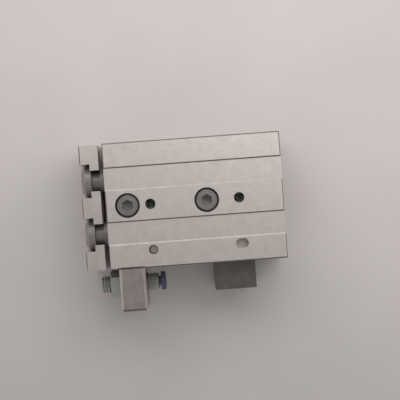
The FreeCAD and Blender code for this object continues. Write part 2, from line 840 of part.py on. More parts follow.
def moving_rod_set(number):
    """Rod, piston, piston seal and the floating joint at the rod's front end."""
    groove_floor = "bore_diameter / 2 - piston_groove_height + seal_clearance"
    piston_rod(number)
    piston(number)
    lip_seal("piston_seal_%d" % number, number, "piston_front + piston_seal_inset",
             "piston_seal_width", groove_floor, "bore_diameter / 2 - seal_clearance")
    clearance = "low_clearance / 2"
    recess = "low_head / 2 + head_play"
    keep(turned("rod_end_collar_%d" % number, [
        ("collar_head_recess", clearance), ("collar_head_recess", recess),
        ("0", recess), ("0", "collar_diameter / 2 - collar_chamfer"),
        ("collar_chamfer", "collar_diameter / 2"), ("collar_thickness", "collar_diameter / 2"),
        ("collar_thickness", "collar_neck_diameter / 2"),
        ("collar_thickness + collar_neck_length", "collar_neck_diameter / 2"),
        ("collar_thickness + collar_neck_length", clearance),
    ], on_bore(number, "collar_front")))
    ring("rod_end_washer_%d" % number, number, "washer_front", "washer_thickness",
         clearance, "washer_diameter / 2")
    keep(screw("rod_end_screw_%d" % number, "low", "rod_end_screw_length",
               on_bore(number, "collar_floor")))


def piston_magnet():
    """Magnet ring of the piston beside the sensor grooves."""
    ring("piston_magnet", 1, "piston_front + magnet_inset", "magnet_width",
         "bore_diameter / 2 - piston_groove_height + seal_clearance",
         "bore_diameter / 2 - piston_clearance - seal_clearance")


def table():
    """Sliding table: a plate with two legs that hold the outer roller grooves."""
    body = keep(new_body("table"))
    section = cross_sketch(body, "table_front")
    polygon(section, mirrored([
        ("leg_inner", "-table_under"),
        ("leg_inner", "groove_z - groove_open"),
        ("leg_inner + groove_open", "groove_z"),
        ("leg_inner", "groove_z + groove_open"),
        ("leg_inner", "-leg_tip"),
        ("leg_outer", "-leg_tip"),
        ("leg_outer", "-table_under"),
        ("table_side", "-table_under"),
        ("table_side", "long_edge_chamfer - table_face"),
        ("table_side - long_edge_chamfer", "-table_face"),
    ]))
    pad(body, section, "rear - table_front")
    threads = flat_sketch(body, "-table_face")
    for along in ("-", ""):
        for across in ("-", ""):
            circle(threads, along + "table_thread_pitch_long / 2",
                   across + "table_thread_pitch_cross / 2", "thread_core_diameter")
    pocket(body, threads, "table_thickness", forward=True)
    pin = flat_sketch(body, "-table_face")
    circle(pin, "-table_pin_pitch / 2", "0", "pin_diameter")
    pocket(body, pin, "pin_hole_depth", forward=True)
    slot = sketch(body, "XY_Plane", ("(table_pin_pitch - pin_slot_travel) / 2", "0", "-table_face"))
    stadium(slot, "pin_slot_travel", "pin_diameter")
    pocket(body, slot, "pin_hole_depth", forward=True)
    plate_threads = cross_sketch(body, "table_front")
    for sign in ("-", ""):
        circle(plate_threads, sign + "plate_screw_pitch / 2", "-plate_screw_depth", tapped("cap"))
    pocket(body, plate_threads, "plate_thread_depth", forward=True)
    stopper_threads = side_sketch(body, "-table_side")
    for x in ("stopper_screw_x", "stopper_screw_x + stopper_screw_pitch"):
        circle(stopper_threads, x, "stopper_screw_z", tapped("small"))
    pocket(body, stopper_threads, "stopper_thread_depth")


def end_plate():
    """Plate on the table's front, with open slots that take the rods' floating collars."""
    body = keep(new_body("end_plate"))
    face = cross_sketch(body, "plate_front")
    rectangle(face, "-plate_side", "-table_face", "plate_side", "-plate_edge_depth")
    pad(body, face, "plate_thickness")
    left = body.Shape.BoundBox.XMin
    chamfer(body, "plate_chamfer", lambda box: box.XMax < left + TINY)
    for width, depth in (("slot_wide", "slot_wide_depth"), ("slot_narrow", "plate_thickness")):
        for sign in SIDES.values():
            slot = sketch(body, "YZ_Plane", (sign + "bore_y", "bore_z", "plate_front"))
            stadium(slot, "bore_axis_depth + slot_wide", width, upright=True)
            pocket(body, slot, depth, forward=True)
    for diameter, depth in ((sunk("cap"), "plate_counterbore_depth"), ("cap_clearance", "plate_thickness")):
        holes = cross_sketch(body, "plate_front")
        for sign in ("-", ""):
            circle(holes, sign + "plate_screw_pitch / 2", "-plate_screw_depth", diameter)
        pocket(body, holes, depth, forward=True)
    threads = cross_sketch(body, "plate_front")
    for sign in ("-", ""):
        for depth in ("plate_thread_first_depth", "(plate_thread_first_depth + plate_thread_pitch_down)"):
            circle(threads, sign + "plate_thread_pitch_cross / 2", "-" + depth, "thread_core_diameter")
    pocket(body, threads, "plate_thickness", forward=True)


def end_plate_screws():
    """Two cap screws from the end plate into the table."""
    group("end_plate_screws", [
        screw("end_plate_screw_%d" % number, "cap", "plate_screw_length",
              ("plate_front + plate_counterbore_depth", sign + "plate_screw_pitch / 2",
               "-plate_screw_depth"))
        for number, sign in SIDES.items()
    ])


def roller_cage(number):
    """Thin strip with a window for each roller."""
    sign = SIDES[number]
    body = keep(new_body("roller_cage_%d" % number))
    strip = side_sketch(body, "0")
    rectangle(strip, "0", "-cage_height / 2", "cage_length", "cage_height / 2")
    pad(body, strip, "cage_thickness")
    window = side_sketch(body, "-cage_thickness")
    rectangle(window, "cage_end_margin - cage_window_length / 2", "-cage_window_height / 2",
              "cage_end_margin + cage_window_length / 2", "cage_window_height / 2")
    first = pocket(body, window, "cage_thickness")
    before = body.Shape.Volume
    row = body.newObject("PartDesign::LinearPattern", body.Label + "_windows")
    row.Originals = [first]
    row.Direction = (window, ["H_Axis"])
    bind(row, "Length", "roller_pitch * (roller_count - 1)")
    bind(row, "Occurrences", "roller_count")
    body.Tip = row
    removed(body, row, before)
    place(body, ("cage_front", "%s(guide_y) + cage_thickness / 2" % sign, "groove_z"))


def rollers(number):
    """Rollers whose axes cross: each lies across its neighbour at a right angle."""
    sign = SIDES[number]
    offset = "roller_length / 2 / sqrt(2)"
    members = []
    for index in range(round(SIZES["roller_count"])):
        lean = 1 if index % 2 else -1
        roller = doc.addObject("Part::Cylinder", "roller_%d_%d" % (number, index + 1))
        bind(roller, "Radius", "roller_diameter / 2")
        bind(roller, "Height", "roller_length")
        place(roller, (
            "cage_front + cage_end_margin + %d * roller_pitch" % index,
            "%s(guide_y) + (%d) * %s" % (sign, lean, offset),
            "groove_z - " + offset,
        ), turn_about("x", 45 * lean))
        members.append(roller)
    group("rollers_%d" % number, members)


def adjuster_block():
    """Block on the body's side that carries the stroke adjuster."""
    body = keep(new_body("adjuster_block"))
    outline = flat_sketch(body, "-block_edge_depth - block_height")
    rectangle(outline, "block_front", "-block_outer", "block_rear", "-block_seat")
    pad(body, outline, "block_height")
    outer = body.Shape.BoundBox.YMin
    top = body.Shape.BoundBox.ZMax
    chamfer(body, "block_chamfer", lambda box: box.YMax < outer + TINY or box.ZMin > top - TINY)
    hole = cross_sketch(body, "block_front")
    circle(hole, "adjuster_y", "-adjuster_axis_depth", "adjuster_diameter + 2 * thread_play")
    pocket(body, hole, "block_length", forward=True)
    for diameter, depth in ((sunk("cap"), "block_counterbore_depth"), ("cap_clearance", "block_reach")):
        screw_hole = side_sketch(body, "-block_outer")
        circle(screw_hole, "(block_front + block_rear) / 2", "-block_screw_depth", diameter)
        pocket(body, screw_hole, depth)
    keep(screw("adjuster_block_screw", "cap", "block_screw_length",
               ("(block_front + block_rear) / 2", "block_counterbore_depth - block_outer",
                "-block_screw_depth"), turn_about("z", 90)))


def adjuster():
    """Adjuster bolt, the bumper in its tip and the lock nut."""
    axis = ("adjuster_y", "-adjuster_axis_depth")
    core = "bumper_stem_diameter / 2 + thread_play"
    radius = "adjuster_diameter / 2"
    bore_start = "adjuster_length - bumper_stem_length - bumper_stem_gap"
    bolt = keep(turned("adjuster_screw", [
        ("0", "0"), ("0", radius + " - adjuster_chamfer"), ("adjuster_chamfer", radius),
        ("adjuster_length - adjuster_chamfer", radius),
        ("adjuster_length", radius + " - adjuster_chamfer"), ("adjuster_length", core),
        (bore_start, core), (bore_start, "0"),
    ], ("adjuster_tip - adjuster_length",) + axis))
    socket = cross_sketch(bolt, "0")
    hexagon(socket, "adjuster_key")
    pocket(bolt, socket, "adjuster_key_depth", forward=True)
    keep(turned("adjuster_bumper", [
        ("-bumper_neck - bumper_stem_length", "0"),
        ("-bumper_neck - bumper_stem_length", "bumper_stem_diameter / 2"),
        ("0", "bumper_stem_diameter / 2"), ("0", "bumper_diameter / 2"),
        ("bumper_head - bumper_chamfer", "bumper_diameter / 2"),
        ("bumper_head", "bumper_diameter / 2 - bumper_chamfer"), ("bumper_head", "0"),
    ], ("adjuster_tip + bumper_neck",) + axis))


def lock_nut():
    """Hexagon nut with its corners turned off, against the adjuster block."""
    body = keep(new_body("lock_nut"))
    outline = cross_sketch(body, "0")
    hexagon(outline, "nut_width")
    circle(outline, "0", "0", "adjuster_diameter + 2 * thread_play")
    pad(body, outline, "nut_thickness")
    flat = "nut_width / 2"
    beyond = "nut_width / sqrt(3) + nut_corner_margin"
    spin(body, [("0", flat), ("0", beyond), ("nut_chamfer", beyond)], cut=True)
    spin(body, [("nut_thickness", flat), ("nut_thickness", beyond),
                ("nut_thickness - nut_chamfer", beyond)], cut=True)
    place(body, ("block_front - nut_thickness", "adjuster_y", "-adjuster_axis_depth"))


def stopper():
    """Block on the table's side that meets the adjuster, clear of the body beside it."""
    body = keep(new_body("stopper"))
    section = cross_sketch(body, "stopper_front")
    inner = "-table_side"
    face = "stopper_face_inset - table_face"
    polygon(section, [
        (inner + " - stopper_relief", "-stopper_edge_depth"),
        (inner + " - stopper_relief", "-table_under"),
        (inner, "-table_under"),
        (inner, face),
        ("stopper_chamfer - stopper_outer", face),
        ("-stopper_outer", face + " + stopper_chamfer"),
        ("-stopper_outer", "-stopper_edge_depth - stopper_chamfer"),
        ("stopper_chamfer - stopper_outer", "-stopper_edge_depth"),
    ])
    pad(body, section, "stopper_length")
    cuts = ((sunk("small"), "stopper_counterbore_depth"), ("small_clearance", "stopper_reach"))
    for diameter, depth in cuts:
        holes = side_sketch(body, "-stopper_outer")
        for x in ("stopper_screw_x", "stopper_screw_x + stopper_screw_pitch"):
            circle(holes, x, "stopper_screw_z", diameter)
        pocket(body, holes, depth)
    group("stopper_screws", [
        screw("stopper_screw_%d" % (index + 1), "small", "stopper_screw_length",
              ("stopper_screw_x + %d * stopper_screw_pitch" % index,
               "stopper_counterbore_depth - stopper_outer", "stopper_screw_z"), turn_about("z", 90))
        for index in range(2)
    ])


def build():
    """Make every piece."""
    fill_sheet()
    body_block()
    guide_rail()
    guide_rail_screws()
    cage_stops()
    for number in SIDES:
        cylinder_ends(number)
    adjuster_block()
    table()
    end_plate()
    end_plate_screws()
    for number in SIDES:
        moving_rod_set(number)
    piston_magnet()
    stopper()
    for number in SIDES:
        roller_cage(number)
        rollers(number)
    adjuster()
    lock_nut()
    doc.recompute()


def check():
    """Stop if any object failed or any piece has no valid solid."""
    for item in doc.Objects:
        if "Invalid" in item.State or "Error" in item.State:
            raise RuntimeError("%s failed: %s" % (item.Label, item.State))
    for item in nodes:
        if item.Shape.isNull() or not item.Shape.isValid() or not item.Shape.Solids:
            raise RuntimeError("%s has no valid solid" % item.Label)


def write():
    """Write one STEP file for each piece."""
    os.makedirs("parts", exist_ok=True)
    for item in nodes:
        item.Shape.exportStep(os.path.join("parts", item.Label + ".step"))


build()
check()
write()
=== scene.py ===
import json
import math

import bmesh
import bpy
from mathutils import Matrix, Vector

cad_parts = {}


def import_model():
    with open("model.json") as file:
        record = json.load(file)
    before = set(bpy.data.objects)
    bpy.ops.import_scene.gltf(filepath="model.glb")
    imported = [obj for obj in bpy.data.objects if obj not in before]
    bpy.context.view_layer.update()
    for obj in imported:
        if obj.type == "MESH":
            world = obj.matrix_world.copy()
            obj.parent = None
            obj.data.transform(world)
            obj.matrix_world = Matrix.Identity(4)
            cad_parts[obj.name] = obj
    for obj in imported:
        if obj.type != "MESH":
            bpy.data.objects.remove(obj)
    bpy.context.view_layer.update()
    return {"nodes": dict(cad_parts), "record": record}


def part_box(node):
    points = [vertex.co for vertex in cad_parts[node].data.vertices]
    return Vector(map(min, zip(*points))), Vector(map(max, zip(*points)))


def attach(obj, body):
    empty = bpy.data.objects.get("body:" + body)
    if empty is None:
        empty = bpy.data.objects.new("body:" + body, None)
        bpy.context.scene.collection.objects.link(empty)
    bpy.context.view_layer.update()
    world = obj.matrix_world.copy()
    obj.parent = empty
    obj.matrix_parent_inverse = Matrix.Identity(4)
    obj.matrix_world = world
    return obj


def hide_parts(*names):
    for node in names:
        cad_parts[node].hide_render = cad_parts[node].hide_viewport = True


# Places are in the part's own frame: X along the stroke, Z out of the mounting face.
MM = 0.001

# Camera: it looks down at the mounting face, turned a little as in the photograph.
CAMERA_PLACE = (0.34 * MM, 0.76 * MM, 315.2 * MM)
CAMERA_RIGHT = (0.9973, -0.0733, 0.0044)
CAMERA_UP = (0.0733, 0.9973, -0.0019)
SENSOR = 36.0
LENS = 90.24

# Floor and lights, in metres and watts. The sky is brighter low down and opposite the lamp.
FLOOR_Z = -26 * MM
FLOOR_HALF = 2.0
FLOOR_COLOURS = ((0.60, 0.558, 0.54), (0.645, 0.603, 0.585))
KEY_PLACE = (0.025, 0.095, 0.108)
KEY_SIZE = (0.3, 0.16)
KEY_POWER = 0.245
SKY_COLOUR = (1, 0.985, 0.97)
SKY_OPPOSITE, SKY_BEHIND_LAMP = 0.44, 0.25
SKY_SIDES = (-0.6, 0.6)
SKY_LOW_DOWN = 0.16
SKY_HEIGHTS = (0.6, 1.0)

# Fasteners, in millimetres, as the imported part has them.
SCREWS = {
    "cap": {"shank": 4.0, "pitch": 0.7, "head": 7.0, "height": 4.0, "key": 3.0, "depth": 2.0},
    "small": {"shank": 2.5, "pitch": 0.45, "head": 4.5, "height": 2.5, "key": 2.0, "depth": 1.3},
    "low": {"shank": 2.5, "pitch": 0.45, "head": 4.5, "height": 1.5, "key": 1.5, "depth": 0.9},
    "button": {"shank": 2.0, "pitch": 0.4, "head": 3.8, "height": 1.0, "key": 1.3, "depth": 0.6},
}
# Node, body, kind, the ways its screws point, and the direction of a row of two.
SCREW_NODES = (
    ("guide_rail_screws", "body", "cap", ("-z",), "x"),
    ("end_plate_screws", "table", "cap", ("+x",), "y"),
    ("adjuster_block_screw", "body", "cap", ("+y",), None),
    ("cage_stop_screws", "body", "button", ("+x", "-x"), None),
    ("stopper_screws", "table", "small", ("+y",), "x"),
    ("rod_end_screw_1", "table", "low", ("+x",), None),
    ("rod_end_screw_2", "table", "low", ("+x",), None),
)
CAGE_STOP_THREAD = 2.2
KNURL_RIDGES = 36
KNURL_DEPTH = 0.1
KNURL_START = 1.3        # of the head's chamfer
HEAD_CHAMFER = 0.35
SOCKET_LEAD = 0.05       # of the key's width
SOCKET_DRILL_TIP = 0.15  # of the key's width
THREAD_DEPTH = 0.6134    # of the pitch
SCREW_SIDES = 32
ADJUSTER_SIDES = 48
ADJUSTER_PITCH = 1.0
ADJUSTER_KEY = 3.0
ADJUSTER_KEY_DEPTH = 3.0
BUMPER_BORE_RADIUS = 1.62
BUMPER_BORE_DEPTH = 4.4

# Tapped holes that stay open: places across the hole's axis and the span along it, in millimetres.
BODY_THREADS = {"axis": "z", "radius": 1.65, "pitch": 0.7, "span": (-11, -0.02),
                "places": ((-14, 0), (14, 0))}
PORT_THREADS = {"axis": "y", "radius": 2.1, "pitch": 0.8, "span": (15.6, 19.98),
                "places": ((-17.3, -7.5), (20.5, -7.5))}
TABLE_THREADS = {"axis": "z", "radius": 1.65, "pitch": 0.7, "span": (-25.98, -19.52),
                 "places": ((-12.5, -14), (-12.5, 14), (12.5, -14), (12.5, 14))}
PLATE_THREADS = {"axis": "x", "radius": 1.65, "pitch": 0.7, "span": (-35.48, -29.52),
                 "places": ((-16.5, -6), (16.5, -6), (-16.5, -20), (16.5, -20))}
THREAD_WALL = 0.04       # how far outside a hole's radius its wall may lie

# Counterbores and the pin hole take painted shade on their walls and floors, and the pin hole's
# floor takes a painted lighter middle: radius, places and tint.
BODY_HOLE_PAINTED_SHADING = ({"radius": 3.95, "places": ((-21.2, 0), (3.8, 0)), "tint": (0.28, 0.262, 0.25)},
             {"radius": 1.6, "places": ((-14, -14.4),), "tint": (0.6, 0.585, 0.575)},
             {"radius": 1.05, "places": ((-14, -14.4),), "tint": (2.1, 2.1, 2.1)})
BELOW_FACE = -0.02

# Painted shade and painted highlights on chamfers and sloped faces, by the side they lean to:
# tint, axis, side, and from how far out.
# Body: painted shade on faces leaning to -Y, on the outer +Y chamfer and on the end chamfers; a
# painted highlight on faces leaning to +Y.
BODY_PAINTED_SLOPE_SHADING = (((0.3, 0.292, 0.292), "Y", -1), ((1.15, 1.15, 1.15), "Y", 1),
              ((0.43, 0.426, 0.417), "Y", 1, 19.5),
              ((0.5, 0.49, 0.48), "X", 1), ((0.5, 0.49, 0.48), "X", -1))
# End plate: painted shade on faces leaning to -X.
PLATE_PAINTED_SLOPE_SHADE = (((0.6, 0.6, 0.6), "X", -1),)
# Block: painted highlights on the end chamfers, painted shade on the -Y chamfer.
BLOCK_PAINTED_SLOPE_SHADING = (((1.2, 1.2, 1.2), "X", 1), ((1.75, 1.75, 1.75), "X", -1),
               ((0.5, 0.5, 0.5), "Y", -1))
# Collars: a painted highlight on faces leaning to -X.
COLLAR_PAINTED_SLOPE_HIGHLIGHT = (((1.6, 1.6, 1.6), "X", -1),)
SLOPE_LEAN = (0.3, 0.9)

# Whole faces with painted light, lightening the shade in the narrow gap between the body's front
# and the end plate's back: tint, axis, side and level.
BODY_FRONT_PAINTED_LIGHT = ((1.4, 1.42, 1.42), "X", -1, -27.98)
PLATE_BACK_PAINTED_LIGHT = ((1.4, 1.42, 1.42), "X", 1, -29.52)

# Stretch of the grain of a machined surface.
ALONG_X = (0.05, 1, 1)
ALONG_Y = (1, 0.05, 1)
EVEN = (1, 1, 1)

# How far a plain metal's tone and roughness drift.
TONE_DRIFT = (0.84, 1.12)
ROUGH_DRIFT = (0.8, 1.25)

# Material indices on a detailed screw, after its own finish: painted shade in the socket, a
# painted highlight on the head's chamfer.
SHADED_SOCKET = 1
HIGHLIGHT_EDGE = 2

# Finish of a detailed mesh: points nearer than this are one, edges below this angle are smooth.
MERGE_DISTANCE = 1e-7
SMOOTH_BELOW = math.radians(40)


# Materials

def node_tree(name):
    """New material with its own node tree, and the Principled shader in it."""
    material = bpy.data.materials.new(name)
    material.use_nodes = True
    tree = material.node_tree
    return material, tree, tree.nodes["Principled BSDF"]


def link(tree, source, target):
    """Join an output socket to an input socket."""
    tree.links.new(source, target)


def position(tree, stretch=EVEN):
    """Place on the surface in millimetres, with each direction stretched."""
    coordinates = tree.nodes.new("ShaderNodeTexCoord")
    mapping = tree.nodes.new("ShaderNodeMapping")
    mapping.inputs["Scale"].default_value = [value / MM for value in stretch]
    link(tree, coordinates.outputs["Object"], mapping.inputs["Vector"])
    return mapping.outputs["Vector"]


def split(tree, vector):
    """Outputs X, Y and Z of a vector socket."""
    parts = tree.nodes.new("ShaderNodeSeparateXYZ")
    link(tree, vector, parts.inputs[0])
    return parts.outputs


def noise(tree, vector, scale, detail=4.0, roughness=0.55):
    """Noise texture with so many features per millimetre."""
    texture = tree.nodes.new("ShaderNodeTexNoise")
    texture.inputs["Scale"].default_value = scale
    texture.inputs["Detail"].default_value = detail
    texture.inputs["Roughness"].default_value = roughness
    link(tree, vector, texture.inputs["Vector"])
    return texture.outputs["Fac"]


def ramp(tree, value, stops):
    """Colour ramp through (position, grey or colour) stops."""
    node = tree.nodes.new("ShaderNodeValToRGB")
    band = node.color_ramp
    while len(band.elements) < len(stops):
        band.elements.new(0.5)
    for element, (place, colour) in zip(band.elements, stops):
        element.position = place
        shade = colour if isinstance(colour, (tuple, list)) else (colour,) * 3
        element.color = (*shade, 1)
    link(tree, value, node.inputs["Fac"])
    return node.outputs["Color"]


def spread(tree, value, low, high, start=0.3, end=0.7):
    """Map a value between start and end to a number between low and high."""
    node = tree.nodes.new("ShaderNodeMapRange")
    node.inputs["From Min"].default_value = start
    node.inputs["From Max"].default_value = end
    node.inputs["To Min"].default_value = low
    node.inputs["To Max"].default_value = high
    link(tree, value, node.inputs["Value"])
    return node.outputs["Result"]


def bump(tree, height, distance, after=None):
    """Bump of a height in millimetres, on top of an earlier normal."""
    node = tree.nodes.new("ShaderNodeBump")
    node.inputs["Strength"].default_value = 1.0
    node.inputs["Distance"].default_value = distance * MM
    link(tree, height, node.inputs["Height"])
    if after is not None:
        link(tree, after, node.inputs["Normal"])
    return node.outputs["Normal"]


def mixed(tree, blend, factor, first, second):
    """Blend two colours; the factor is a number or a socket."""
    node = tree.nodes.new("ShaderNodeMix")
    node.data_type = "RGBA"
    node.blend_type = blend
    if isinstance(factor, (int, float)):
        node.inputs["Factor"].default_value = factor
    else:
        link(tree, factor, node.inputs["Factor"])
    for value, socket in ((first, node.inputs["A"]), (second, node.inputs["B"])):
        if isinstance(value, tuple):
            socket.default_value = (*value, 1)
        else:
            link(tree, value, socket)
    return node.outputs["Result"]


def calculate(tree, operation, first, second=0.0):
    """One math node on two numbers or sockets."""
    node = tree.nodes.new("ShaderNodeMath")
    node.operation = operation
    for value, socket in ((first, node.inputs[0]), (second, node.inputs[1])):
        if isinstance(value, (int, float)):
            socket.default_value = value
        else:
            link(tree, value, socket)
    return node.outputs[0]


def from_centre(tree, first, second, centre):
    """Offsets from a hole's centre in two directions, and the squared distance."""
    du = calculate(tree, "SUBTRACT", first, centre[0])
    dv = calculate(tree, "SUBTRACT", second, centre[1])
    squared = calculate(tree, "ADD", calculate(tree, "MULTIPLY", du, du),
                        calculate(tree, "MULTIPLY", dv, dv))
    return du, dv, squared


def thread_field(tree, threads):
    """Ridge height and mask of helical threads on the walls of some holes."""
    parts = split(tree, position(tree))
    across = {"x": ("Y", "Z"), "y": ("X", "Z"), "z": ("X", "Y")}[threads["axis"]]
    along = parts[threads["axis"].upper()]
    low, high = threads["span"]
    within = calculate(tree, "MULTIPLY", calculate(tree, "GREATER_THAN", along, low),
                       calculate(tree, "LESS_THAN", along, high))
    limit = (threads["radius"] + THREAD_WALL) ** 2
    height, inside = 0.0, 0.0
    for centre in threads["places"]:
        du, dv, squared = from_centre(tree, parts[across[0]], parts[across[1]], centre)
        near = calculate(tree, "MULTIPLY", within, calculate(tree, "LESS_THAN", squared, limit))
        turn = calculate(tree, "DIVIDE", calculate(tree, "ARCTAN2", dv, du), 2 * math.pi)
        phase = calculate(tree, "ADD", calculate(tree, "DIVIDE", along, threads["pitch"]), turn)
        ridge = calculate(tree, "PINGPONG", phase, 0.5)
        height = calculate(tree, "ADD", height, calculate(tree, "MULTIPLY", ridge, near))
        inside = calculate(tree, "ADD", inside, near)
    return height, inside


def face_mask(tree, axis, sign, beyond):
    """One beyond a level along one axis, counted towards its side."""
    along = calculate(tree, "MULTIPLY", split(tree, position(tree))[axis], sign)
    return calculate(tree, "GREATER_THAN", along, beyond)


def slope_mask(tree, axis, sign, beyond=None):
    """One on chamfers and sloped faces that lean towards one side, all or only beyond a level;
    these take painted light and shade.
    """
    normal = split(tree, tree.nodes.new("ShaderNodeTexCoord").outputs["Normal"])
    lean = calculate(tree, "MULTIPLY", normal[axis], sign)
    mask = calculate(tree, "MULTIPLY", calculate(tree, "GREATER_THAN", lean, SLOPE_LEAN[0]),
                     calculate(tree, "LESS_THAN", lean, SLOPE_LEAN[1]))
    if beyond is None:
        return mask
    return calculate(tree, "MULTIPLY", mask, face_mask(tree, axis, sign, beyond))


def hole_shading_mask(tree, painted_hole_shading):
    """One on the walls and floors of round holes in the mounting face, where shade and light are
    painted.
    """
    parts = split(tree, position(tree))
    inside = 0.0
    for centre in painted_hole_shading["places"]:
        squared = from_centre(tree, parts["X"], parts["Y"], centre)[2]
        inside = calculate(tree, "ADD", inside,
                           calculate(tree, "LESS_THAN", squared, painted_hole_shading["radius"] ** 2))
    below = calculate(tree, "LESS_THAN", parts["Z"], BELOW_FACE)
    return calculate(tree, "MULTIPLY", inside, below)


def metal(name, dark, light, rough, grain=EVEN, metallic=1.0, grain_depth=0.004, fine=5.0,
          contrast=0.3, painted_slope_shading=(), face=None, painted_hole_shading=(), threads=(), thread_painted_shading=(0.3, 0.3, 0.3)):
    """Machined or plated metal: a drifting tone, a fine directional grain, faint smudges, and
    painted light and shade where the look lists it.
    """
    material, tree, shader = node_tree(name)
    tone = noise(tree, position(tree), 0.3, detail=5.0)
    streaks = noise(tree, position(tree, grain), fine, detail=6.0)
    smudges = noise(tree, position(tree, (0.6, 1, 1)), 0.9, detail=3.0)
    colour = ramp(tree, tone, ((0.3, dark), (0.7, light)))
    colour = mixed(tree, "OVERLAY", contrast, colour,
                   ramp(tree, streaks, ((0.25, 0.3), (0.75, 0.7))))
    colour = mixed(tree, "MULTIPLY", 0.25, colour,
                   ramp(tree, smudges, ((0.35, 0.75), (0.6, 1.0))))
    # Painted shade and painted highlights on chamfers and sloped faces.
    for tint, *where in painted_slope_shading:
        colour = mixed(tree, "MULTIPLY", slope_mask(tree, *where), colour, tint)
    # Painted light on a whole face.
    if face is not None:
        tint, axis, sign, level = face
        colour = mixed(tree, "MULTIPLY", face_mask(tree, axis, sign, sign * level), colour, tint)
    # Painted shade in round holes, with a painted lighter floor in some.
    for group in painted_hole_shading:
        colour = mixed(tree, "MULTIPLY", hole_shading_mask(tree, group), colour, group["tint"])
    shape = bump(tree, streaks, grain_depth)
    for group in threads:
        height, inside = thread_field(tree, group)
        # Painted shading on the walls of tapped holes: a tint below one paints shade, above one
        # paints light.
        colour = mixed(tree, "MULTIPLY", inside, colour, thread_painted_shading)
        shape = bump(tree, height, group["pitch"] * THREAD_DEPTH, shape)
    link(tree, colour, shader.inputs["Base Color"])
    roughness = calculate(tree, "ADD", spread(tree, streaks, rough[0], rough[1]),
                          spread(tree, smudges, 0.05, -0.03))
    link(tree, roughness, shader.inputs["Roughness"])
    link(tree, shape, shader.inputs["Normal"])
    shader.inputs["Metallic"].default_value = metallic
    return material


def plain_metal(name, tone, rough, **more):
    """Metal of one tone with a slight drift."""
    dark, light = (tuple(value * drift for value in tone) for drift in TONE_DRIFT)
    return metal(name, dark, light, tuple(rough * drift for drift in ROUGH_DRIFT), **more)


def elastomer(name, dark, light, rough):
    """Moulded rubber or urethane with a fine surface grain."""
    material, tree, shader = node_tree(name)
    place = position(tree)
    tone = noise(tree, place, 0.6)
    grain = noise(tree, place, 9.0, detail=3.0)
    link(tree, ramp(tree, tone, ((0.3, dark), (0.7, light))), shader.inputs["Base Color"])
    link(tree, spread(tree, grain, rough * 0.85, rough * 1.15), shader.inputs["Roughness"])
    link(tree, bump(tree, grain, 0.01), shader.inputs["Normal"])
    return material


# Looks of the record's material slots, and of the screws' sockets, darker for painted shade, and
# chamfers, lighter for a painted highlight.
METALS = {
    "anodised_body": {
        "dark": (0.57, 0.522, 0.494), "light": (0.63, 0.58, 0.552), "rough": (0.36, 0.46),
        "grain": ALONG_X, "metallic": 0.7, "contrast": 0.15, "painted_slope_shading": BODY_PAINTED_SLOPE_SHADING,
        "face": BODY_FRONT_PAINTED_LIGHT, "painted_hole_shading": BODY_HOLE_PAINTED_SHADING, "threads": (BODY_THREADS, PORT_THREADS),
        # Painted light inside the body's tapped holes.
        "thread_painted_shading": (1.45, 1.65, 1.6)},
    "plated_end_plate": {
        "dark": (0.575, 0.526, 0.499), "light": (0.655, 0.603, 0.572), "rough": (0.30, 0.42),
        "grain": ALONG_Y, "metallic": 0.8, "contrast": 0.15, "painted_slope_shading": PLATE_PAINTED_SLOPE_SHADE,
        "face": PLATE_BACK_PAINTED_LIGHT, "threads": (PLATE_THREADS,)},
    "nickel_block": {
        "dark": (0.40, 0.353, 0.333), "light": (0.50, 0.445, 0.425), "rough": (0.24, 0.34),
        "grain": ALONG_Y, "metallic": 0.9, "grain_depth": 0.0015, "fine": 3.0,
        "contrast": 0.1, "painted_slope_shading": BLOCK_PAINTED_SLOPE_SHADING},
    "dark_stopper": {
        "dark": (0.10, 0.095, 0.088), "light": (0.15, 0.142, 0.132), "rough": (0.35, 0.55),
        "metallic": 0.5},
}
PLAIN_METALS = {
    "table_steel": {"tone": (0.5, 0.49, 0.48), "rough": 0.35, "grain": ALONG_X,
                    "threads": (TABLE_THREADS,)},
    "guide_steel": {"tone": (0.55, 0.54, 0.53), "rough": 0.22, "grain": ALONG_X},
    "zinc_adjuster": {"tone": (0.45, 0.468, 0.435), "rough": 0.42, "metallic": 0.75},
    "zinc_screw": {"tone": (0.27, 0.25, 0.235), "rough": 0.36, "metallic": 0.85},
    # A darker socket for painted shade, a lighter chamfer for a painted highlight.
    "zinc_socket": {"tone": (0.20, 0.18, 0.172), "rough": 0.5, "metallic": 0.7},
    "zinc_edge": {"tone": (0.5, 0.475, 0.455), "rough": 0.35, "metallic": 0.85},
    "magnet": {"tone": (0.12, 0.12, 0.13), "rough": 0.6},
    "collar_steel": {"tone": (0.25, 0.228, 0.216), "rough": 0.5, "metallic": 0.65,
                     "painted_slope_shading": COLLAR_PAINTED_SLOPE_HIGHLIGHT},
    "cage_steel": {"tone": (0.6, 0.6, 0.6), "rough": 0.3, "grain": ALONG_X},
    "roller_steel": {"tone": (0.7, 0.7, 0.71), "rough": 0.12},
    "rod_chrome": {"tone": (0.72, 0.72, 0.73), "rough": 0.1},
    "piston_alloy": {"tone": (0.62, 0.62, 0.63), "rough": 0.3},
    "clip_steel": {"tone": (0.12, 0.12, 0.13), "rough": 0.4},
    "cover_alloy": {"tone": (0.58, 0.57, 0.56), "rough": 0.3},
}
ELASTOMERS = {
    "blue_urethane": {"dark": (0.05, 0.053, 0.095), "light": (0.075, 0.08, 0.135), "rough": 0.4},
    "seal_rubber": {"dark": (0.012, 0.012, 0.012), "light": (0.03, 0.03, 0.03), "rough": 0.45},
    "end_bumper": {"dark": (0.03, 0.03, 0.035), "light": (0.06, 0.06, 0.065), "rough": 0.5},
}


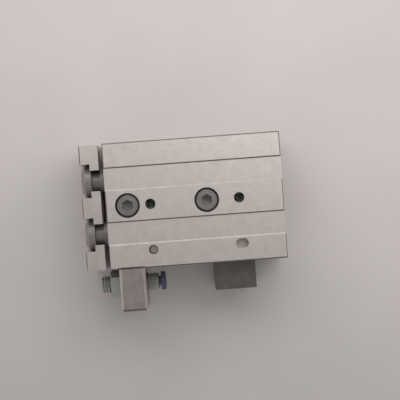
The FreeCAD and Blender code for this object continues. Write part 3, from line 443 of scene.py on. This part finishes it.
def materials():
    """One procedural material for each look, by name."""
    finishes = {}
    for make, looks in ((metal, METALS), (plain_metal, PLAIN_METALS), (elastomer, ELASTOMERS)):
        for name, look in looks.items():
            finishes[name] = make(name, **look)
    return finishes


def dress(frame, finishes):
    """Give every CAD node the material of its slot."""
    slots = {part["node"]: part["material_slot"] for part in frame["record"]["subparts"]}
    for name, item in frame["nodes"].items():
        item.data.materials.clear()
        item.data.materials.append(finishes[slots[name]])
    return slots


# Detailed pieces, made in millimetres about the X axis, with the head on the -X side

def mesh_object(name, shape):
    """Object of a finished bmesh, smooth where its faces meet at a small angle."""
    bmesh.ops.remove_doubles(shape, verts=shape.verts, dist=MERGE_DISTANCE)
    bmesh.ops.recalc_face_normals(shape, faces=shape.faces)
    mesh = bpy.data.meshes.new(name)
    shape.to_mesh(mesh)
    shape.free()
    item = bpy.data.objects.new(name, mesh)
    bpy.context.scene.collection.objects.link(item)
    mesh.shade_smooth()
    mesh.set_sharp_from_angle(angle=SMOOTH_BELOW)
    return item


def ring_of(shape, x, radii):
    """Vertices around the X axis at one x, one for each radius."""
    step = 2 * math.pi / len(radii)
    return [shape.verts.new((x, radius * math.cos(step * i), radius * math.sin(step * i)))
            for i, radius in enumerate(radii)]


def sleeve(shape, first, second, finish=0):
    """Quads between two rings of equal count."""
    count = len(first)
    for i in range(count):
        j = (i + 1) % count
        face = shape.faces.new((first[i], first[j], second[j], second[i]))
        face.material_index = finish


def flat_ring(shape, outer, inner):
    """Triangles between two loops of any count in one plane."""
    edges = []
    for loop in (outer, inner):
        for i, vertex in enumerate(loop):
            pair = (vertex, loop[(i + 1) % len(loop)])
            edges.append(shape.edges.get(pair) or shape.edges.new(pair))
    bmesh.ops.triangle_fill(shape, use_beauty=True, edges=edges)


def cap(shape, ring, x, finish=0):
    """Fan from a ring to a point on the axis."""
    tip = shape.verts.new((x, 0, 0))
    for i, vertex in enumerate(ring):
        face = shape.faces.new((vertex, ring[(i + 1) % len(ring)], tip))
        face.material_index = finish


def hex_socket(shape, face_ring, x, key, depth):
    """Hexagon socket with a small lead-in and a drilled bottom, sunk from x towards +X."""
    corner = key / math.sqrt(3)
    lead = SOCKET_LEAD * key
    mouth = ring_of(shape, x, [corner + lead] * 6)
    top = ring_of(shape, x + lead, [corner] * 6)
    bottom = ring_of(shape, x + depth, [corner] * 6)
    flat_ring(shape, face_ring, mouth)
    sleeve(shape, mouth, top)
    sleeve(shape, top, bottom, SHADED_SOCKET)
    cap(shape, bottom, x + depth + SOCKET_DRILL_TIP * key, SHADED_SOCKET)


def thread(shape, radius, pitch, start, end, around, end_radius):
    """Right-hand thread about the X axis between two x, tapered to a circle at both ends."""
    root = radius - THREAD_DEPTH * pitch
    # Crest and root of one turn: the part of the pitch and the radius there.
    profile = ((0.0, radius), (0.125, radius), (0.4375, root), (0.6875, root))
    per_turn = len(profile)
    # Two turns before the start and two past the end are pressed flat onto the end circles.
    turns = math.ceil((end - start) / pitch) + 4
    rows = []
    for turn in range(turns):
        for part, height in profile:
            row = []
            for i in range(around):
                angle = 2 * math.pi * i / around
                x = start + pitch * (turn - 2 + part + i / around)
                x = min(max(x, start), end)
                size = min(height, end_radius + min(x - start, end - x))
                row.append(shape.verts.new((x, size * math.cos(angle), size * math.sin(angle))))
            rows.append(row)
    for m in range(len(rows) - per_turn - 1):
        row, above = rows[m], rows[m + 1]
        for i in range(around - 1):
            shape.faces.new((row[i], row[i + 1], above[i + 1], above[i]))
        # The last column joins the first one a turn further on.
        shape.faces.new((row[-1], rows[m + per_turn][0], rows[m + per_turn + 1][0], above[-1]))


def knurled_head(shape, kind, around_shank):
    """Cylindrical head before the origin, with a knurled side and a hexagon socket."""
    radius = kind["head"] / 2
    chamfer = min(HEAD_CHAMFER, kind["height"] / 4)
    count = 2 * KNURL_RIDGES
    knurled = [radius, radius - KNURL_DEPTH] * KNURL_RIDGES
    top = ring_of(shape, -kind["height"], [radius - chamfer] * count)
    shoulder = ring_of(shape, chamfer - kind["height"], [radius] * count)
    upper = ring_of(shape, KNURL_START * chamfer - kind["height"], knurled)
    lower = ring_of(shape, -chamfer, knurled)
    base = ring_of(shape, 0, [radius - KNURL_DEPTH] * count)
    sleeve(shape, top, shoulder, HIGHLIGHT_EDGE)
    for first, second in ((shoulder, upper), (upper, lower), (lower, base)):
        sleeve(shape, first, second)
    hex_socket(shape, top, -kind["height"], kind["key"], kind["depth"])
    flat_ring(shape, base, around_shank)


def socket_screw(shape, kind, length):
    """Socket screw with its head's underside at the origin and a threaded shank."""
    radius = kind["shank"] / 2
    root = radius - THREAD_DEPTH * kind["pitch"]
    neck_length = kind["pitch"] / 2
    neck = ring_of(shape, 0, [root] * SCREW_SIDES)
    neck_end = ring_of(shape, neck_length, [root] * SCREW_SIDES)
    knurled_head(shape, kind, neck)
    sleeve(shape, neck, neck_end)
    thread(shape, radius, kind["pitch"], neck_length, length, SCREW_SIDES, root)
    cap(shape, ring_of(shape, length, [root] * SCREW_SIDES), length)


def about(axis, degrees):
    """Rotation matrix about one axis."""
    return Matrix.Rotation(math.radians(degrees), 4, axis)


HEADINGS = {
    "+x": Matrix.Identity(4),
    "-x": about("Z", 180),
    "+y": about("Z", 90),
    "-z": about("Y", 90),
}


def placed(shape, start, heading, place):
    """Turn and move the vertices that came after the first ones to a place in millimetres."""
    shape.verts.ensure_lookup_table()
    move = Matrix.Translation(Vector(place) * MM)
    bmesh.ops.transform(shape, matrix=move @ HEADINGS[heading] @ Matrix.Scale(MM, 4),
                        verts=shape.verts[start:])


def box_of(node):
    """Lowest and highest corner of a CAD node, in millimetres."""
    return [[value / MM for value in corner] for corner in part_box(node)]


def stand_in(item, node, body, slots, finishes, more=()):
    """Put a detailed piece in a CAD node's place, with its finish and some more."""
    for finish in (slots[node], *more):
        item.data.materials.append(finishes[finish])
    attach(item, body)
    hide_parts(node)


def screw_places(node, kind, heading, row):
    """Undersides of the heads of one node's screws: one in its middle, or two at a row's ends."""
    low, high = box_of(node)
    axis = "xyz".index(heading[1])
    place = [(first + second) / 2 for first, second in zip(low, high)]
    place[axis] = low[axis] + kind["height"] if heading[0] == "+" else high[axis] - kind["height"]
    if row is None:
        return [place]
    along = "xyz".index(row)
    inset = kind["head"] / 2
    ends = (low[along] + inset, high[along] - inset)
    return [[*place[:along], end, *place[along + 1:]] for end in ends]


def shank_length(node, kind, headings):
    """Length of a node's screws below their heads."""
    low, high = box_of(node)
    if len(headings) == 2:
        # Screws that face each other go through a stop at each end and a way into the rail.
        return box_of("cage_stop_front")[1][0] - low[0] - kind["height"] + CAGE_STOP_THREAD
    axis = "xyz".index(headings[0][1])
    return high[axis] - low[axis] - kind["height"]


def all_screws(slots, finishes):
    """Every screw of the part, with knurling, socket and thread."""
    for node, body, kind_name, headings, row in SCREW_NODES:
        kind = SCREWS[kind_name]
        length = shank_length(node, kind, headings)
        shape = bmesh.new()
        for heading in headings:
            for place in screw_places(node, kind, heading, row):
                start = len(shape.verts)
                socket_screw(shape, kind, length)
                placed(shape, start, heading, place)
        item = mesh_object(node + "_detailed", shape)
        stand_in(item, node, body, slots, finishes, ("zinc_socket", "zinc_edge"))


def adjuster_bolt(slots, finishes):
    """Adjuster bolt with its thread, a hexagon socket and the bore for its bumper."""
    low, high = box_of("adjuster_screw")
    radius = (high[1] - low[1]) / 2
    length = high[0] - low[0]
    root = radius - THREAD_DEPTH * ADJUSTER_PITCH
    shape = bmesh.new()
    thread(shape, radius, ADJUSTER_PITCH, 0, length, ADJUSTER_SIDES, root)
    face = ring_of(shape, 0, [root] * ADJUSTER_SIDES)
    hex_socket(shape, face, 0, ADJUSTER_KEY, ADJUSTER_KEY_DEPTH)
    rim = ring_of(shape, length, [root] * ADJUSTER_SIDES)
    mouth = ring_of(shape, length, [BUMPER_BORE_RADIUS] * ADJUSTER_SIDES)
    end = ring_of(shape, length - BUMPER_BORE_DEPTH, [BUMPER_BORE_RADIUS] * ADJUSTER_SIDES)
    sleeve(shape, rim, mouth)
    sleeve(shape, mouth, end)
    cap(shape, end, length - BUMPER_BORE_DEPTH)
    placed(shape, 0, "+x", (low[0], (low[1] + high[1]) / 2, (low[2] + high[2]) / 2))
    item = mesh_object("adjuster_screw_threaded", shape)
    stand_in(item, "adjuster_screw", "adjuster_screw", slots, finishes, ("zinc_socket",))


# Stage

def floor():
    """Plain pale surface that the part lies on."""
    material, tree, shader = node_tree("pale_surface")
    tone = noise(tree, position(tree), 0.02)
    colour = ramp(tree, tone, ((0.3, FLOOR_COLOURS[0]), (0.7, FLOOR_COLOURS[1])))
    link(tree, colour, shader.inputs["Base Color"])
    shader.inputs["Roughness"].default_value = 0.8
    shape = bmesh.new()
    shape.faces.new([shape.verts.new((x * FLOOR_HALF, y * FLOOR_HALF, FLOOR_Z))
                     for x, y in ((-1, -1), (1, -1), (1, 1), (-1, 1))])
    item = mesh_object("floor", shape)
    item.data.materials.append(material)


def key_light():
    """Soft rectangular lamp over the ports' side, facing the origin."""
    data = bpy.data.lights.new("key", "AREA")
    data.shape = "RECTANGLE"
    data.size, data.size_y = KEY_SIZE
    data.energy = KEY_POWER
    lamp = bpy.data.objects.new("key", data)
    lamp.visible_camera = False
    bpy.context.scene.collection.objects.link(lamp)
    lamp.location = KEY_PLACE
    lamp.rotation_euler = (-Vector(KEY_PLACE)).to_track_quat("-Z", "Y").to_euler()


def sky():
    """Even soft light from all around, a little brighter low down and opposite the lamp."""
    world = bpy.data.worlds.new("studio")
    world.use_nodes = True
    tree = world.node_tree
    parts = split(tree, tree.nodes.new("ShaderNodeTexCoord").outputs["Generated"])
    around = spread(tree, parts["Y"], SKY_OPPOSITE, SKY_BEHIND_LAMP, *SKY_SIDES)
    low_down = spread(tree, parts["Z"], SKY_LOW_DOWN, 0, *SKY_HEIGHTS)
    background = tree.nodes["Background"]
    background.inputs["Color"].default_value = (*SKY_COLOUR, 1)
    link(tree, calculate(tree, "ADD", around, low_down), background.inputs["Strength"])
    bpy.context.scene.world = world


def camera():
    """Camera at the photograph's place, for a square picture."""
    data = bpy.data.cameras.new("camera")
    data.sensor_width = SENSOR
    data.lens = LENS
    data.clip_start = 0.01
    data.clip_end = 10
    right = Vector(CAMERA_RIGHT).normalized()
    up = Vector(CAMERA_UP)
    up = (up - right * up.dot(right)).normalized()
    turn = Matrix((right, up, right.cross(up))).transposed()
    item = bpy.data.objects.new("camera", data)
    item.matrix_world = Matrix.Translation(CAMERA_PLACE) @ turn.to_4x4()
    bpy.context.scene.collection.objects.link(item)
    bpy.context.scene.camera = item


def main():
    """Dress the part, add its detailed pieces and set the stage."""
    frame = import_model()
    finishes = materials()
    slots = dress(frame, finishes)
    all_screws(slots, finishes)
    adjuster_bolt(slots, finishes)
    floor()
    key_light()
    sky()
    camera()
    bpy.context.scene.view_settings.view_transform = "Standard"


main()
